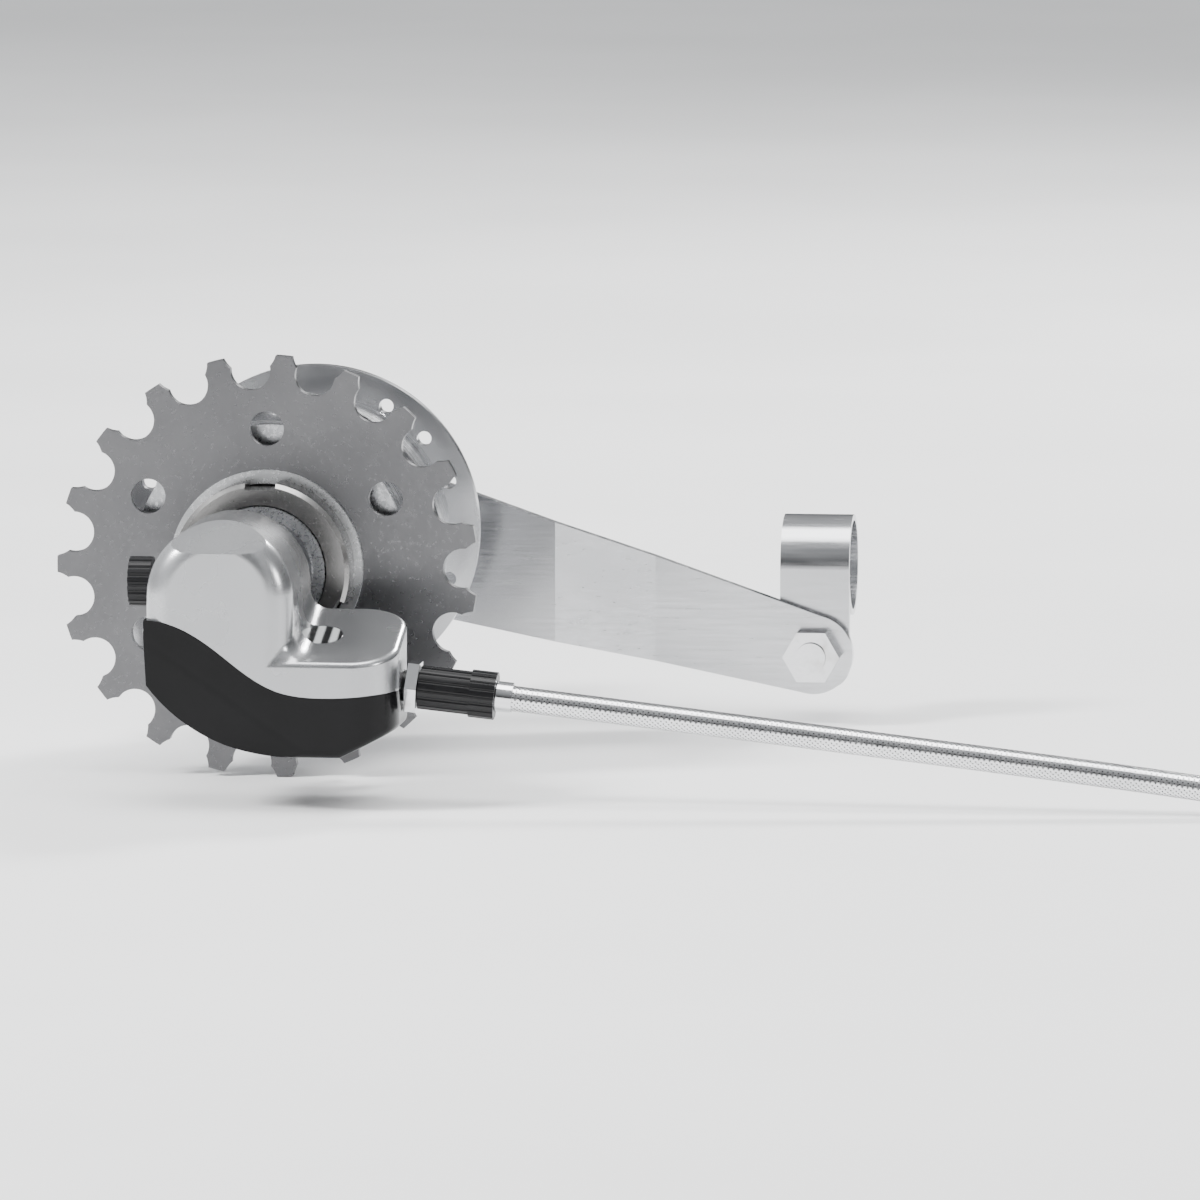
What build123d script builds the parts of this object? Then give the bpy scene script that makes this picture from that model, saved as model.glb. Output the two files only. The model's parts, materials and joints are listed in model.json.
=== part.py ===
"""Three-speed bicycle hub gear with its shift actuator, brake arm and cable.

The origin is the middle of the axle, half way between the two lock nut faces.
+X points forward, +Y to the left (brake) side and +Z up, so the drive side is -Y.
All sizes are in millimetres.
"""

from build123d import *
from math import acos, atan2, cos, degrees, pi, radians, sin, sqrt, tan
import os

os.makedirs("parts", exist_ok=True)

# ---------------------------------------------------------------- driving dimensions
LOCKNUT_FACE = 60.0  # from the middle to each lock nut face
DROPOUT = 6.0  # thickness of the frame end that the axle is clamped in
AXLE_R = 4.75
NUT_BORE_R = 4.78
AXLE_FLAT = 4.5  # from the axle's centre line to each of its flats
AXLE_DRIVE_END = -86.0
AXLE_BRAKE_END = 82.0
ROD_R = 2.0  # push rod inside the axle

FLANGE_R = 33.0
FLANGE_INNER = 26.0  # from the middle to a flange's inner face
FLANGE_OUTER = 29.0
SPOKE_CIRCLES = (28.7, 29.4)  # radius of the brake side's holes and of the drive side's
SPOKES_PER_FLANGE = 18
SPOKE_HOLE_R = 1.45
SHELL_R = 26.9
DRUM_R = 25.0  # bore of the shell, which is also the brake drum

MODULE = 0.9
PRESSURE = radians(25)
SUN_TEETH = 16
PLANET_TEETH = 14
RING_TEETH = 44
PLANETS = 4
GEAR_LEFT = -2.0
GEAR_RIGHT = -12.0
GEAR_ADDENDUM = 0.75
GEAR_DEDENDUM = 1.05
ORBIT_R = MODULE * (SUN_TEETH + PLANET_TEETH) / 2

SPROCKET_TEETH = 19
CHAIN_PITCH = 12.7
CHAIN_ROLLER_R = 3.95
SPROCKET_LEFT = -42.0
SPROCKET_THICK = 2.3

LEFT_BALL_R = 3.17
LEFT_BALL_CIRCLE = 15.0
LEFT_BALL_Y = 33.0
RIGHT_BALL_R = 2.78
RIGHT_BALL_CIRCLE = 20.5
RIGHT_BALL_Y = -33.0
DRIVER_BALL_R = 2.38
DRIVER_BALL_CIRCLE = 10.5
DRIVER_BALL_Y = -49.5
RACE_GAP = 0.1

RATCHET_NOTCHES = 16
RATCHET_LOW_R = 23.2
RATCHET_HIGH_R = 24.4
PAWL_Y = (-14.6, -19.6)
PAWL_ANGLES = (67.5, 247.5)  # the steep face that each pawl pushes against

CASE_BACK = -70.5  # shift actuator, from its back to its front face
CASE_FRONT = -99.0
PIVOT = (6.5, -91.0)  # lever's upright pivot, x and y
LEVER_SWING = 20.0  # to each side of its middle position
PUSH_ARM = 6.5
PULL_ARM = 8.0
CABLE_Y = -83.3
CASE_END_X = 32.0
PORT = (CASE_END_X, CABLE_Y, -18.3)  # where the adjuster's axis leaves the case
ADJUSTER_TILT = radians(6)
ADJUSTER_DIR = (cos(ADJUSTER_TILT), 0, -sin(ADJUSTER_TILT))
BARREL_END = 17.9  # along the adjuster's axis from the port

CABLE_R = 2.5
BENCH_Z = -41.4  # the surface that the put-away cable lies on
COIL_X = 245.0
COIL_R = 27.5  # at the middle of the turns
COIL_LAYERS = 2
COIL_COLUMNS = 4
END_CAP_WALL = 0.35  # the cap on the cable's far end

ARM_HOLE = (98.0, -27.0)  # brake arm's end hole, x and z
STAY_R = 9.0  # frame tube that the arm's clip goes round
STAY_CENTRE = (63.0, -10.0)  # y and z
STRAP_THICK = 1.2
ARM_THICK = 3.0
ARM_NEAR = 46.0  # the arm's inner face at its hub end and, past the bend, at its tip
ARM_FAR = 49.8


# ---------------------------------------------------------------- helpers
def side_plane(y):
    """A plane across the axle: local x is +X, local y is +Z, and extrude goes towards -Y."""
    return Plane.XZ.offset(-y)


def outline(points, plane=Plane.XY):
    """A closed sketch with straight sides."""
    with BuildSketch(plane) as sketch:
        with BuildLine():
            Polyline(*points, close=True)
        make_face()
    return sketch.sketch


def turned(points):
    """Half section of a turned piece, from (y, radius) corners, to revolve about Axis.Y."""
    return outline([(r, y) for y, r in points])


def polar(r, angle):
    """A point at a radius and an angle in degrees from +X towards +Z."""
    return (r * cos(radians(angle)), r * sin(radians(angle)))


def involute(angle):
    return tan(angle) - angle


def gear_outline(teeth, tip_r, root_r, backlash, phase, plane, centre=(0, 0)):
    """A gear's outline with a tooth centred at the phase angle, in degrees."""
    pitch_r = MODULE * teeth / 2
    base_r = pitch_r * cos(PRESSURE)
    flank = [root_r, max(base_r, root_r + 0.1), pitch_r, tip_r]
    points = []
    for tooth in range(teeth):
        middle = phase + 360 * tooth / teeth
        half = []
        for r in flank:
            roll = acos(min(1, base_r / max(r, base_r)))
            wide = pi / (2 * teeth) - backlash / (2 * pitch_r)
            half.append(degrees(wide + involute(PRESSURE) - involute(roll)))
        points += [polar(r, middle - h) for r, h in zip(flank, half)]
        points += [polar(r, middle + h) for r, h in reversed(list(zip(flank, half)))]
    moved = [(x + centre[0], z + centre[1]) for x, z in points]
    return outline(moved, plane)


def keep(part, name):
    """Label a finished piece and write it."""
    part.part.label = name
    export_step(part.part, "parts/" + name + ".step")


# ---------------------------------------------------------------- axle and fixed pieces
with BuildPart() as axle:
    profile = [
        (AXLE_DRIVE_END, 0),
        (AXLE_DRIVE_END, AXLE_R - 0.6),
        (AXLE_DRIVE_END + 0.6, AXLE_R),
        (AXLE_BRAKE_END - 0.6, AXLE_R),
        (AXLE_BRAKE_END, AXLE_R - 0.6),
        (AXLE_BRAKE_END, 0),
    ]
    revolve(turned(profile), axis=Axis.Y)
    # two flats at each end, for the non-turn washers
    for y_end in (AXLE_DRIVE_END, LOCKNUT_FACE - 2):
        for side in (-1, 1):
            with Locations((0, y_end + 13, side * (AXLE_FLAT + 1))):
                Box(12, 27, 2, mode=Mode.SUBTRACT)
    # push rod bore from the drive end, and the slot for the key that crosses it
    with BuildSketch(side_plane(-18.5)):
        Circle(ROD_R + 0.08)
    extrude(amount=80, mode=Mode.SUBTRACT)
    with Locations((0, -25, 0)):
        Box(3.2, 9.6, 12, mode=Mode.SUBTRACT)
keep(axle, "axle")

with BuildPart() as sun_gear:
    extrude(
        gear_outline(
            SUN_TEETH,
            MODULE * SUN_TEETH / 2 + GEAR_ADDENDUM,
            MODULE * SUN_TEETH / 2 - GEAR_DEDENDUM,
            0.12,
            0,
            side_plane(GEAR_LEFT),
        ),
        amount=GEAR_LEFT - GEAR_RIGHT,
    )
    with BuildSketch(side_plane(GEAR_LEFT)):
        Circle(AXLE_R)
    extrude(amount=GEAR_LEFT - GEAR_RIGHT, mode=Mode.SUBTRACT)
keep(sun_gear, "sun_gear")

# the left cone carries the left bearing, anchors the brake and holds the brake arm
with BuildPart() as left_cone:
    race = LEFT_BALL_CIRCLE - LEFT_BALL_R - RACE_GAP
    profile = [
        (19, AXLE_R),
        (19, 14.5),
        (21, 16.5),
        (24, 16.5),
        (24.4, 13.0),
        (27, race),
        (36.4, race),
        (36.4, 13.4),
        (46, 13.4),
        (46, 10),
        (49, 10),
        (49, AXLE_R),
    ]
    revolve(turned(profile), axis=Axis.Y)
keep(left_cone, "left_cone")

with BuildPart() as right_cone:
    race = DRIVER_BALL_CIRCLE - DRIVER_BALL_R - RACE_GAP
    profile = [
        (-55, AXLE_R),
        (-55, 10.3),
        (-52.2, 10.3),
        (-52.2, race),
        (-46.5, race - 0.6),
        (-46.5, AXLE_R),
    ]
    revolve(turned(profile), axis=Axis.Y)
keep(right_cone, "right_cone")


def hex_nut(y_left, y_right, across):
    """A hexagon nut's sketch on its left face and its thickness."""
    with BuildSketch(side_plane(y_left)) as sketch:
        RegularPolygon(across / 2, 6, major_radius=False)
        Circle(NUT_BORE_R, mode=Mode.SUBTRACT)
    return sketch.sketch, y_left - y_right


with BuildPart() as lock_nuts:
    for y_left in (LOCKNUT_FACE, 5 - LOCKNUT_FACE):
        face, thick = hex_nut(y_left, y_left - 5, 17)
        extrude(face, amount=thick)
keep(lock_nuts, "lock_nuts")

with BuildPart() as arm_nut:
    face, thick = hex_nut(55, 49, 22)
    extrude(face, amount=thick)
keep(arm_nut, "arm_nut")

WASHER_Y = LOCKNUT_FACE + DROPOUT
TONGUE = 3.8  # of the washers, into the frame ends' slots
with BuildPart() as nonturn_washers:
    tongue_y = WASHER_Y - TONGUE / 2
    for y_left, tab_y in ((WASHER_Y + 2, tongue_y), (-WASHER_Y, -tongue_y)):
        with BuildSketch(side_plane(y_left)):
            Circle(10)
            with BuildSketch(mode=Mode.PRIVATE) as hole:
                Circle(AXLE_R + 0.1)
                Rectangle(20, 2 * AXLE_FLAT + 0.2, mode=Mode.INTERSECT)
            add(hole.sketch, mode=Mode.SUBTRACT)
        extrude(amount=2)
        with Locations((-7.5, tab_y, 0)):
            Box(4, TONGUE, 5.5)
keep(nonturn_washers, "nonturn_washers")

with BuildPart() as axle_nuts:
    for y_flange, y_body in ((WASHER_Y + 4, WASHER_Y + 11), (-WASHER_Y - 2, -WASHER_Y - 4)):
        with BuildSketch(side_plane(y_flange)):
            Circle(10.4)
            Circle(NUT_BORE_R, mode=Mode.SUBTRACT)
        extrude(amount=2)
        face, thick = hex_nut(y_body, y_body - 7, 15)
        extrude(face, amount=thick)
keep(axle_nuts, "axle_nuts")

# ---------------------------------------------------------------- brake arm and its clip
ARM_SLOPE = atan2(ARM_HOLE[1], ARM_HOLE[0])
with BuildPart() as brake_arm:
    # seen from above: a flat plate that steps out to the clip's ears
    bend = [(-17, ARM_NEAR), (46, ARM_NEAR), (66, ARM_FAR), (112, ARM_FAR)]
    back = [(x, y + ARM_THICK) for x, y in reversed(bend)]
    extrude(outline(bend + back, Plane.XY.offset(-45)), amount=70)
    # seen from the side: a round hub end that tapers to a rounded tip
    length = sqrt(ARM_HOLE[0] ** 2 + ARM_HOLE[1] ** 2)
    ahead = Plane(
        origin=(0, 70, 0),
        x_dir=(cos(ARM_SLOPE), 0, sin(ARM_SLOPE)),
        z_dir=(0, -1, 0),
    )
    with BuildSketch(ahead):
        Circle(15)
        with Locations((length, 0)):
            Circle(8)
        with BuildLine():
            Polyline((2, 14.8), (length + 1, 7.9), (length + 1, -7.9), (2, -14.8), close=True)
        make_face()
        Circle(10, mode=Mode.SUBTRACT)
        with Locations((length, 0)):
            Circle(3.2, mode=Mode.SUBTRACT)
    extrude(amount=40, mode=Mode.INTERSECT)
keep(brake_arm, "brake_arm")

EAR_IN = ARM_FAR + ARM_THICK
EAR_SLIT = EAR_IN + STRAP_THICK
EAR_OUT = EAR_SLIT + 0.2 + STRAP_THICK
EAR_DROP = STAY_CENTRE[1] - ARM_HOLE[1] + 7  # from the tube's centre to the ears' ends
with BuildPart() as arm_clip:
    # a strap round the frame tube, whose two ends hang together outside the arm
    with BuildSketch(Plane.YZ.offset(ARM_HOLE[0] - 7)):
        with Locations(STAY_CENTRE):
            Circle(STAY_R + STRAP_THICK)
        with Locations(((EAR_IN + EAR_OUT) / 2, STAY_CENTRE[1] - EAR_DROP / 2)):
            Rectangle(EAR_OUT - EAR_IN, EAR_DROP)
        with Locations((EAR_SLIT + 0.1, STAY_CENTRE[1] - EAR_DROP / 2 - 0.5)):
            Rectangle(0.2, EAR_DROP + 1, mode=Mode.SUBTRACT)
        with Locations(STAY_CENTRE):
            Circle(STAY_R, mode=Mode.SUBTRACT)
    extrude(amount=14)
    with BuildSketch(side_plane(EAR_OUT + 1)):
        with Locations(ARM_HOLE):
            Circle(3.2)
    extrude(amount=EAR_OUT - EAR_IN + 2, mode=Mode.SUBTRACT)
    fillet(arm_clip.edges().filter_by(Axis.Y).group_by(Axis.Z)[0], 4)
keep(arm_clip, "arm_clip")

with BuildPart() as clip_bolt:
    with BuildSketch(side_plane(EAR_OUT + 4)):
        with Locations(ARM_HOLE):
            RegularPolygon(5, 6, major_radius=False)
    extrude(amount=4)
    with BuildSketch(side_plane(EAR_OUT)):
        with Locations(ARM_HOLE):
            Circle(3.0)
    extrude(amount=EAR_OUT - ARM_FAR + 6)
keep(clip_bolt, "clip_bolt")

with BuildPart() as clip_nut:
    with BuildSketch(side_plane(ARM_FAR)):
        with Locations(ARM_HOLE):
            RegularPolygon(5, 6, major_radius=False)
            Circle(3.03, mode=Mode.SUBTRACT)
    extrude(amount=5)
keep(clip_nut, "clip_nut")

with BuildPart() as brake_dust_cap:
    profile = [(41, 13.4), (41, 22.8), (36, 23.2), (36, 24.2), (42.2, 23.8), (42.2, 13.4)]
    revolve(turned(profile), axis=Axis.Y)
keep(brake_dust_cap, "brake_dust_cap")

with BuildPart() as driver_dust_cap:
    revolve(turned([(-54, 10.3), (-54, 12.7), (-52.8, 12.7), (-52.8, 10.3)]), axis=Axis.Y)
keep(driver_dust_cap, "driver_dust_cap")

# ---------------------------------------------------------------- shell and what turns with it
SHELL_RIGHT = -36.5
SHELL_LEFT = 38.4
CUP_R = LEFT_BALL_CIRCLE + LEFT_BALL_R + RACE_GAP
with BuildPart() as hub_shell:
    profile = [
        (SHELL_LEFT, CUP_R),
        (SHELL_LEFT, 21.5),
        (31, 22.5),
        (FLANGE_OUTER, 25),
        (FLANGE_OUTER, FLANGE_R),
        (FLANGE_INNER, FLANGE_R),
        (FLANGE_INNER - 0.6, SHELL_R + 0.3),
        (FLANGE_INNER - 3, SHELL_R),
        (3 - FLANGE_INNER, SHELL_R),
        (0.6 - FLANGE_INNER, SHELL_R + 0.3),
        (-FLANGE_INNER, FLANGE_R),
        (-FLANGE_OUTER, FLANGE_R),
        (-FLANGE_OUTER, 27.4),
        (SHELL_RIGHT, 26.8),
        (SHELL_RIGHT, DRUM_R),
        (25, DRUM_R),
        (25, 14),
        (29.6, 14),
        (29.6, CUP_R),
    ]
    revolve(turned(profile), axis=Axis.Y)
    half_pitch = 180 / SPOKES_PER_FLANGE
    sides = ((FLANGE_OUTER + 1, 0), (1 - FLANGE_INNER, half_pitch))
    for (y_left, start), circle_r in zip(sides, SPOKE_CIRCLES):
        with BuildSketch(side_plane(y_left)):
            with PolarLocations(circle_r, SPOKES_PER_FLANGE, start_angle=start):
                Circle(SPOKE_HOLE_R)
        extrude(amount=5, mode=Mode.SUBTRACT)
keep(hub_shell, "hub_shell")

with BuildPart() as right_cup:
    race = RIGHT_BALL_CIRCLE + RIGHT_BALL_R + RACE_GAP
    profile = [
        (SHELL_RIGHT, race),
        (SHELL_RIGHT, DRUM_R),
        (-28, DRUM_R),
        (-28, 18.4),
        (-30, 18.4),
        (-30, race),
    ]
    revolve(turned(profile), axis=Axis.Y)
keep(right_cup, "right_cup")

with BuildPart() as shell_ratchet:
    step = 360 / RATCHET_NOTCHES
    teeth = []
    for notch in range(RATCHET_NOTCHES):
        teeth.append(polar(RATCHET_HIGH_R, notch * step))
        teeth.append(polar(RATCHET_LOW_R, (notch + 1) * step))
    with BuildSketch(side_plane(-14)):
        Circle(DRUM_R)
    extrude(amount=6)
    extrude(outline(teeth, side_plane(-13)), amount=8, mode=Mode.SUBTRACT)
keep(shell_ratchet, "shell_ratchet")

with BuildPart() as left_dust_cap:
    revolve(turned([(37, 13.9), (37, CUP_R), (38.4, CUP_R), (38.4, 13.9)]), axis=Axis.Y)
keep(left_dust_cap, "left_dust_cap")

# ---------------------------------------------------------------- driver and sprocket
DRIVER_BORE = 12.3
SEAT_R = 17.4
LUG_ANGLES = (90, 210, 330)
SNAP_Y = SPROCKET_LEFT - SPROCKET_THICK
with BuildPart() as driver:
    race = RIGHT_BALL_CIRCLE - RIGHT_BALL_R - RACE_GAP
    cup = DRIVER_BALL_CIRCLE + DRIVER_BALL_R + RACE_GAP
    profile = [
        (-54, cup),
        (-54, SEAT_R - 0.8),
        (-53.2, SEAT_R),
        (SNAP_Y - 1.4, SEAT_R),
        (SNAP_Y - 1.4, SEAT_R - 1),
        (SNAP_Y, SEAT_R - 1),
        (SNAP_Y, SEAT_R),
        (SPROCKET_LEFT, SEAT_R),
        (SPROCKET_LEFT, 20.5),
        (-36.1, 20.5),
        (-36.1, race),
        (-29, race),
        (-29, 15),
        (-17, 15),
        (-17, DRIVER_BORE),
        (-46.8, DRIVER_BORE),
        (-46.8, cup),
    ]
    revolve(turned(profile), axis=Axis.Y)
    # three notches for the sprocket's lugs, and four slots for the clutch's lugs
    with BuildSketch(side_plane(SPROCKET_LEFT)):
        for angle in LUG_ANGLES:
            with Locations(Rot(0, 0, angle) * Pos(SEAT_R, 0)):
                Rectangle(3, 6)
    extrude(amount=13, mode=Mode.SUBTRACT)
    with BuildSketch(side_plane(-16)):
        for angle in (45, 135):
            with Locations(Rot(0, 0, angle)):
                Rectangle(32, 6.6)
    extrude(amount=12.5, mode=Mode.SUBTRACT)
keep(driver, "driver")

with BuildPart() as sprocket:
    pitch_r = CHAIN_PITCH / 2 / sin(pi / SPROCKET_TEETH)
    with BuildSketch(side_plane(SPROCKET_LEFT)):
        Circle(pitch_r + 2.8)
        with PolarLocations(pitch_r, SPROCKET_TEETH):
            Circle(CHAIN_ROLLER_R, mode=Mode.SUBTRACT)
        with PolarLocations(pitch_r + 4.6, SPROCKET_TEETH):
            Circle(CHAIN_ROLLER_R + 1.7, mode=Mode.SUBTRACT)
        Circle(SEAT_R, mode=Mode.SUBTRACT)
        for angle in LUG_ANGLES:
            with Locations(Rot(0, 0, angle) * Pos(SEAT_R, 0)):
                Rectangle(2.6, 5.8)
        with PolarLocations(27, 6, start_angle=30):
            Circle(3.4, mode=Mode.SUBTRACT)
    extrude(amount=SPROCKET_THICK)
keep(sprocket, "sprocket")

with BuildPart() as snap_ring:
    with BuildSketch(side_plane(SNAP_Y)):
        Circle(19)
        Circle(SEAT_R - 1, mode=Mode.SUBTRACT)
        with Locations((0, -18)):
            Rectangle(9, 8, mode=Mode.SUBTRACT)
    extrude(amount=1.4)
keep(snap_ring, "snap_ring")

with BuildPart() as right_dust_cap:
    profile = [(-38.4, 20.5), (-38.4, 27.2), (-37.2, 27.2), (-37.2, 20.5)]
    revolve(turned(profile), axis=Axis.Y)
keep(right_dust_cap, "right_dust_cap")

# ---------------------------------------------------------------- planetary gear
PIN_R = 2.0
with BuildPart() as planet_carrier:
    plate_r = 17.5
    revolve(turned([(-16, 8.3), (-16, plate_r), (-13, plate_r), (-13, 8.3)]), axis=Axis.Y)
    profile = [
        (-1, AXLE_R + 0.08),
        (-1, plate_r),
        (3.5, plate_r),
        (4.5, 8),
        (13, 8),
        (13, AXLE_R + 0.08),
    ]
    revolve(turned(profile), axis=Axis.Y)
    with BuildSketch(side_plane(-1)):
        with PolarLocations(13, PLANETS, start_angle=45):
            Circle(2.5)
    extrude(amount=12)
    with BuildSketch(side_plane(4)):
        with PolarLocations(ORBIT_R, PLANETS):
            Circle(PIN_R)
    extrude(amount=22, mode=Mode.SUBTRACT)
    # four dogs that the clutch's lugs drive
    with BuildSketch(side_plane(-16)):
        Circle(12)
        Circle(9.6, mode=Mode.SUBTRACT)
        for angle in (45, 135):
            with Locations(Rot(0, 0, angle)):
                Rectangle(30, 6.6, mode=Mode.SUBTRACT)
    extrude(amount=8)
keep(planet_carrier, "planet_carrier")

with BuildPart() as planet_pins:
    with BuildSketch(side_plane(3.2)):
        with PolarLocations(ORBIT_R, PLANETS):
            Circle(PIN_R)
    extrude(amount=19)
keep(planet_pins, "planet_pins")

for number in range(PLANETS):
    place = 360 * number / PLANETS
    centre = polar(ORBIT_R, place)
    with BuildPart() as planet_gear:
        extrude(
            gear_outline(
                PLANET_TEETH,
                MODULE * PLANET_TEETH / 2 + GEAR_ADDENDUM,
                MODULE * PLANET_TEETH / 2 - GEAR_DEDENDUM,
                0.12,
                place + 180 / PLANET_TEETH,
                side_plane(GEAR_LEFT - 0.2),
                centre,
            ),
            amount=GEAR_LEFT - GEAR_RIGHT - 0.4,
        )
        with BuildSketch(side_plane(GEAR_LEFT)):
            with Locations(centre):
                Circle(PIN_R + 0.06)
        extrude(amount=12, mode=Mode.SUBTRACT)
    keep(planet_gear, "planet_gear_" + str(number + 1))

RING_R = 22.5
with BuildPart() as ring_gear:
    with BuildSketch(side_plane(-1)):
        Circle(RING_R)
    extrude(amount=20.5)
    teeth = gear_outline(
        RING_TEETH,
        MODULE * RING_TEETH / 2 + GEAR_DEDENDUM,
        MODULE * RING_TEETH / 2 - GEAR_ADDENDUM,
        -0.08,
        180 / RING_TEETH,
        side_plane(-1),
    )
    extrude(teeth, amount=12, mode=Mode.SUBTRACT)
    with BuildSketch(side_plane(-13)):
        Circle(18.2)
    extrude(amount=6.5, mode=Mode.SUBTRACT)
    with BuildSketch(side_plane(-19)):
        Circle(15.1)
    extrude(amount=3, mode=Mode.SUBTRACT)
    # two pockets for the pawls, from behind each pivot to just past the tip
    for steep in PAWL_ANGLES:
        pocket = [
            polar(20, steep - 3),
            polar(20, steep + 11),
            polar(20, steep + 25),
            polar(24, steep + 25),
            polar(26, steep + 11),
            polar(24, steep - 3),
        ]
        extrude(outline(pocket, side_plane(-14.2)), amount=5.8, mode=Mode.SUBTRACT)
    with BuildSketch(side_plane(-12)):
        for steep in PAWL_ANGLES:
            with Locations(polar(21.3, steep + 20)):
                Circle(0.6)
    extrude(amount=9, mode=Mode.SUBTRACT)
keep(ring_gear, "ring_gear")

with BuildPart() as pawl_pins:
    with BuildSketch(side_plane(-13.2)):
        for steep in PAWL_ANGLES:
            with Locations(polar(21.3, steep + 20)):
                Circle(0.6)
    extrude(amount=7.8)
keep(pawl_pins, "pawl_pins")

for number, steep in enumerate(PAWL_ANGLES):
    pivot = polar(21.3, steep + 20)
    with BuildPart() as ring_pawl:
        with BuildSketch(side_plane(PAWL_Y[0])):
            with BuildLine():
                Polyline(
                    polar(20.5, steep + 19),
                    polar(22.0, steep + 2),
                    polar(23.7, steep + 1.6),
                    polar(23.6, steep + 4),
                    polar(22.35, steep + 20),
                    close=True,
                )
            make_face()
            with Locations(pivot):
                Circle(1.05)
                Circle(0.65, mode=Mode.SUBTRACT)
        extrude(amount=PAWL_Y[0] - PAWL_Y[1])
    keep(ring_pawl, "ring_pawl_" + str(number + 1))

# ---------------------------------------------------------------- clutch, key and push rod
with BuildPart() as clutch:
    with BuildSketch(side_plane(-22.5)):
        Circle(9.4)
        for angle in (45, 135):
            with Locations(Rot(0, 0, angle)):
                Rectangle(29.2, 6)
        Circle(AXLE_R + 0.08, mode=Mode.SUBTRACT)
    extrude(amount=3.5)
keep(clutch, "clutch")

with BuildPart() as axle_key:
    with BuildSketch(Plane.XY.offset(-8)):
        with Locations((0, -27.6)):
            Circle(1.4)
    extrude(amount=16)
keep(axle_key, "axle_key")

ROD_TIP = PIVOT[1] - PUSH_ARM * sin(radians(LEVER_SWING)) + 2.0
with BuildPart() as push_rod:
    with BuildSketch(side_plane(-25.6)):
        Circle(ROD_R)
    extrude(amount=-25.6 - ROD_TIP)
    fillet(push_rod.edges().sort_by(Axis.Y)[0], 1.5)
    with BuildSketch(Plane.XY.offset(-5)):
        with Locations((0, -27.6)):
            Circle(1.4)
    extrude(amount=10, mode=Mode.SUBTRACT)
keep(push_rod, "push_rod")

SPRING_WIRE_R = 0.5
SPRING_R = 6.1
SPRING_RIGHT = -22.5 + SPRING_WIRE_R
SPRING_LEFT = GEAR_RIGHT - SPRING_WIRE_R
with BuildPart() as clutch_spring:
    wire = Helix(
        pitch=(SPRING_LEFT - SPRING_RIGHT) / 5,
        height=SPRING_LEFT - SPRING_RIGHT,
        radius=SPRING_R,
        center=(0, SPRING_RIGHT, 0),
        direction=(0, 1, 0),
        mode=Mode.PRIVATE,
    )
    with BuildSketch(Plane(wire @ 0, z_dir=wire % 0)):
        Circle(SPRING_WIRE_R)
    sweep(path=wire)
keep(clutch_spring, "clutch_spring")

# ---------------------------------------------------------------- brake
with BuildPart() as brake_cone:
    profile = [(6, 8.1), (6, 16.2), (10.5, 16.2), (12.5, 14.4), (12.5, 8.1)]
    revolve(turned(profile), axis=Axis.Y)
keep(brake_cone, "brake_cone")

SHOE_R = 24.5
for name, up in (("brake_shoe_upper", 1), ("brake_shoe_lower", -1)):
    with BuildPart() as brake_shoe:
        profile = [(10, 18), (10, SHOE_R), (23, SHOE_R), (23, 18), (20, 17), (13, 17)]
        revolve(turned(profile), axis=Axis.Y)
        with Locations((0, 16, -up * 15.5)):
            Box(60, 20, 33, mode=Mode.SUBTRACT)
    keep(brake_shoe, name)


# ---------------------------------------------------------------- ball bearings
def ball_ring(y, circle_r, ball_r, count):
    """The loose balls of one bearing."""
    with BuildPart(side_plane(y)) as balls:
        with PolarLocations(circle_r, count):
            Sphere(ball_r)
    return balls


def ball_cage(y, circle_r, ball_r, count, half_width, faces):
    """The ring that keeps a bearing's balls apart, on one side of them."""
    low, high = faces
    with BuildPart() as cage:
        ring = [
            (low, circle_r - half_width),
            (low, circle_r + half_width),
            (high, circle_r + half_width),
            (high, circle_r - half_width),
        ]
        revolve(turned(ring), axis=Axis.Y)
        with Locations(side_plane(y)):
            with PolarLocations(circle_r, count):
                Sphere(ball_r + 0.12, mode=Mode.SUBTRACT)
    return cage


keep(ball_ring(LEFT_BALL_Y, LEFT_BALL_CIRCLE, LEFT_BALL_R, 11), "left_balls")
keep(ball_cage(LEFT_BALL_Y, LEFT_BALL_CIRCLE, LEFT_BALL_R, 11, 2.9, (35.1, 36.1)), "left_cage")
keep(ball_ring(RIGHT_BALL_Y, RIGHT_BALL_CIRCLE, RIGHT_BALL_R, 18), "right_balls")
keep(
    ball_cage(RIGHT_BALL_Y, RIGHT_BALL_CIRCLE, RIGHT_BALL_R, 18, 2.6, (-35.8, -34.9)),
    "right_cage",
)
keep(ball_ring(DRIVER_BALL_Y, DRIVER_BALL_CIRCLE, DRIVER_BALL_R, 9), "driver_balls")


# ---------------------------------------------------------------- shift actuator: case
def parting_line():
    """The wavy joint between the bright cover and the dark housing, from left to right."""
    return Spline(
        (-16.2, -4.6),
        (-9.1, -6.2),
        (-2.3, -10.4),
        (4.6, -15.6),
        (9.3, -18.0),
        (17, -19.2),
        (25, -18.9),
        (CASE_END_X, -18.3),
    )


TOWER_X = -2.0  # the tower is round about this line, which is off the axle's
TOWER_Z = -0.4
TOWER_R = 14.2
TOWER_SIDE = TOWER_X + TOWER_R
DECK_BACK_Z = -4.6  # the deck beside the tower slopes down towards its front
DECK_FRONT_Z = -12.5
DECK_SLOPE = atan2(DECK_BACK_Z - DECK_FRONT_Z, CASE_BACK - CASE_FRONT)
CROWN_Z = 8.2  # the tower's roof slopes back from this height on its front face
NUT_ROOM_R = 11.2  # of the room for the axle nut, inside the tower's wall
LENS_X = 16.1
LENS_Y = -85.0
LENS_Z = DECK_BACK_Z - (CASE_BACK - LENS_Y) * tan(DECK_SLOPE)
DECK = Plane(
    origin=(LENS_X, LENS_Y, LENS_Z),
    x_dir=(1, 0, 0),
    z_dir=(0, -sin(DECK_SLOPE), cos(DECK_SLOPE)),
)
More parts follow.
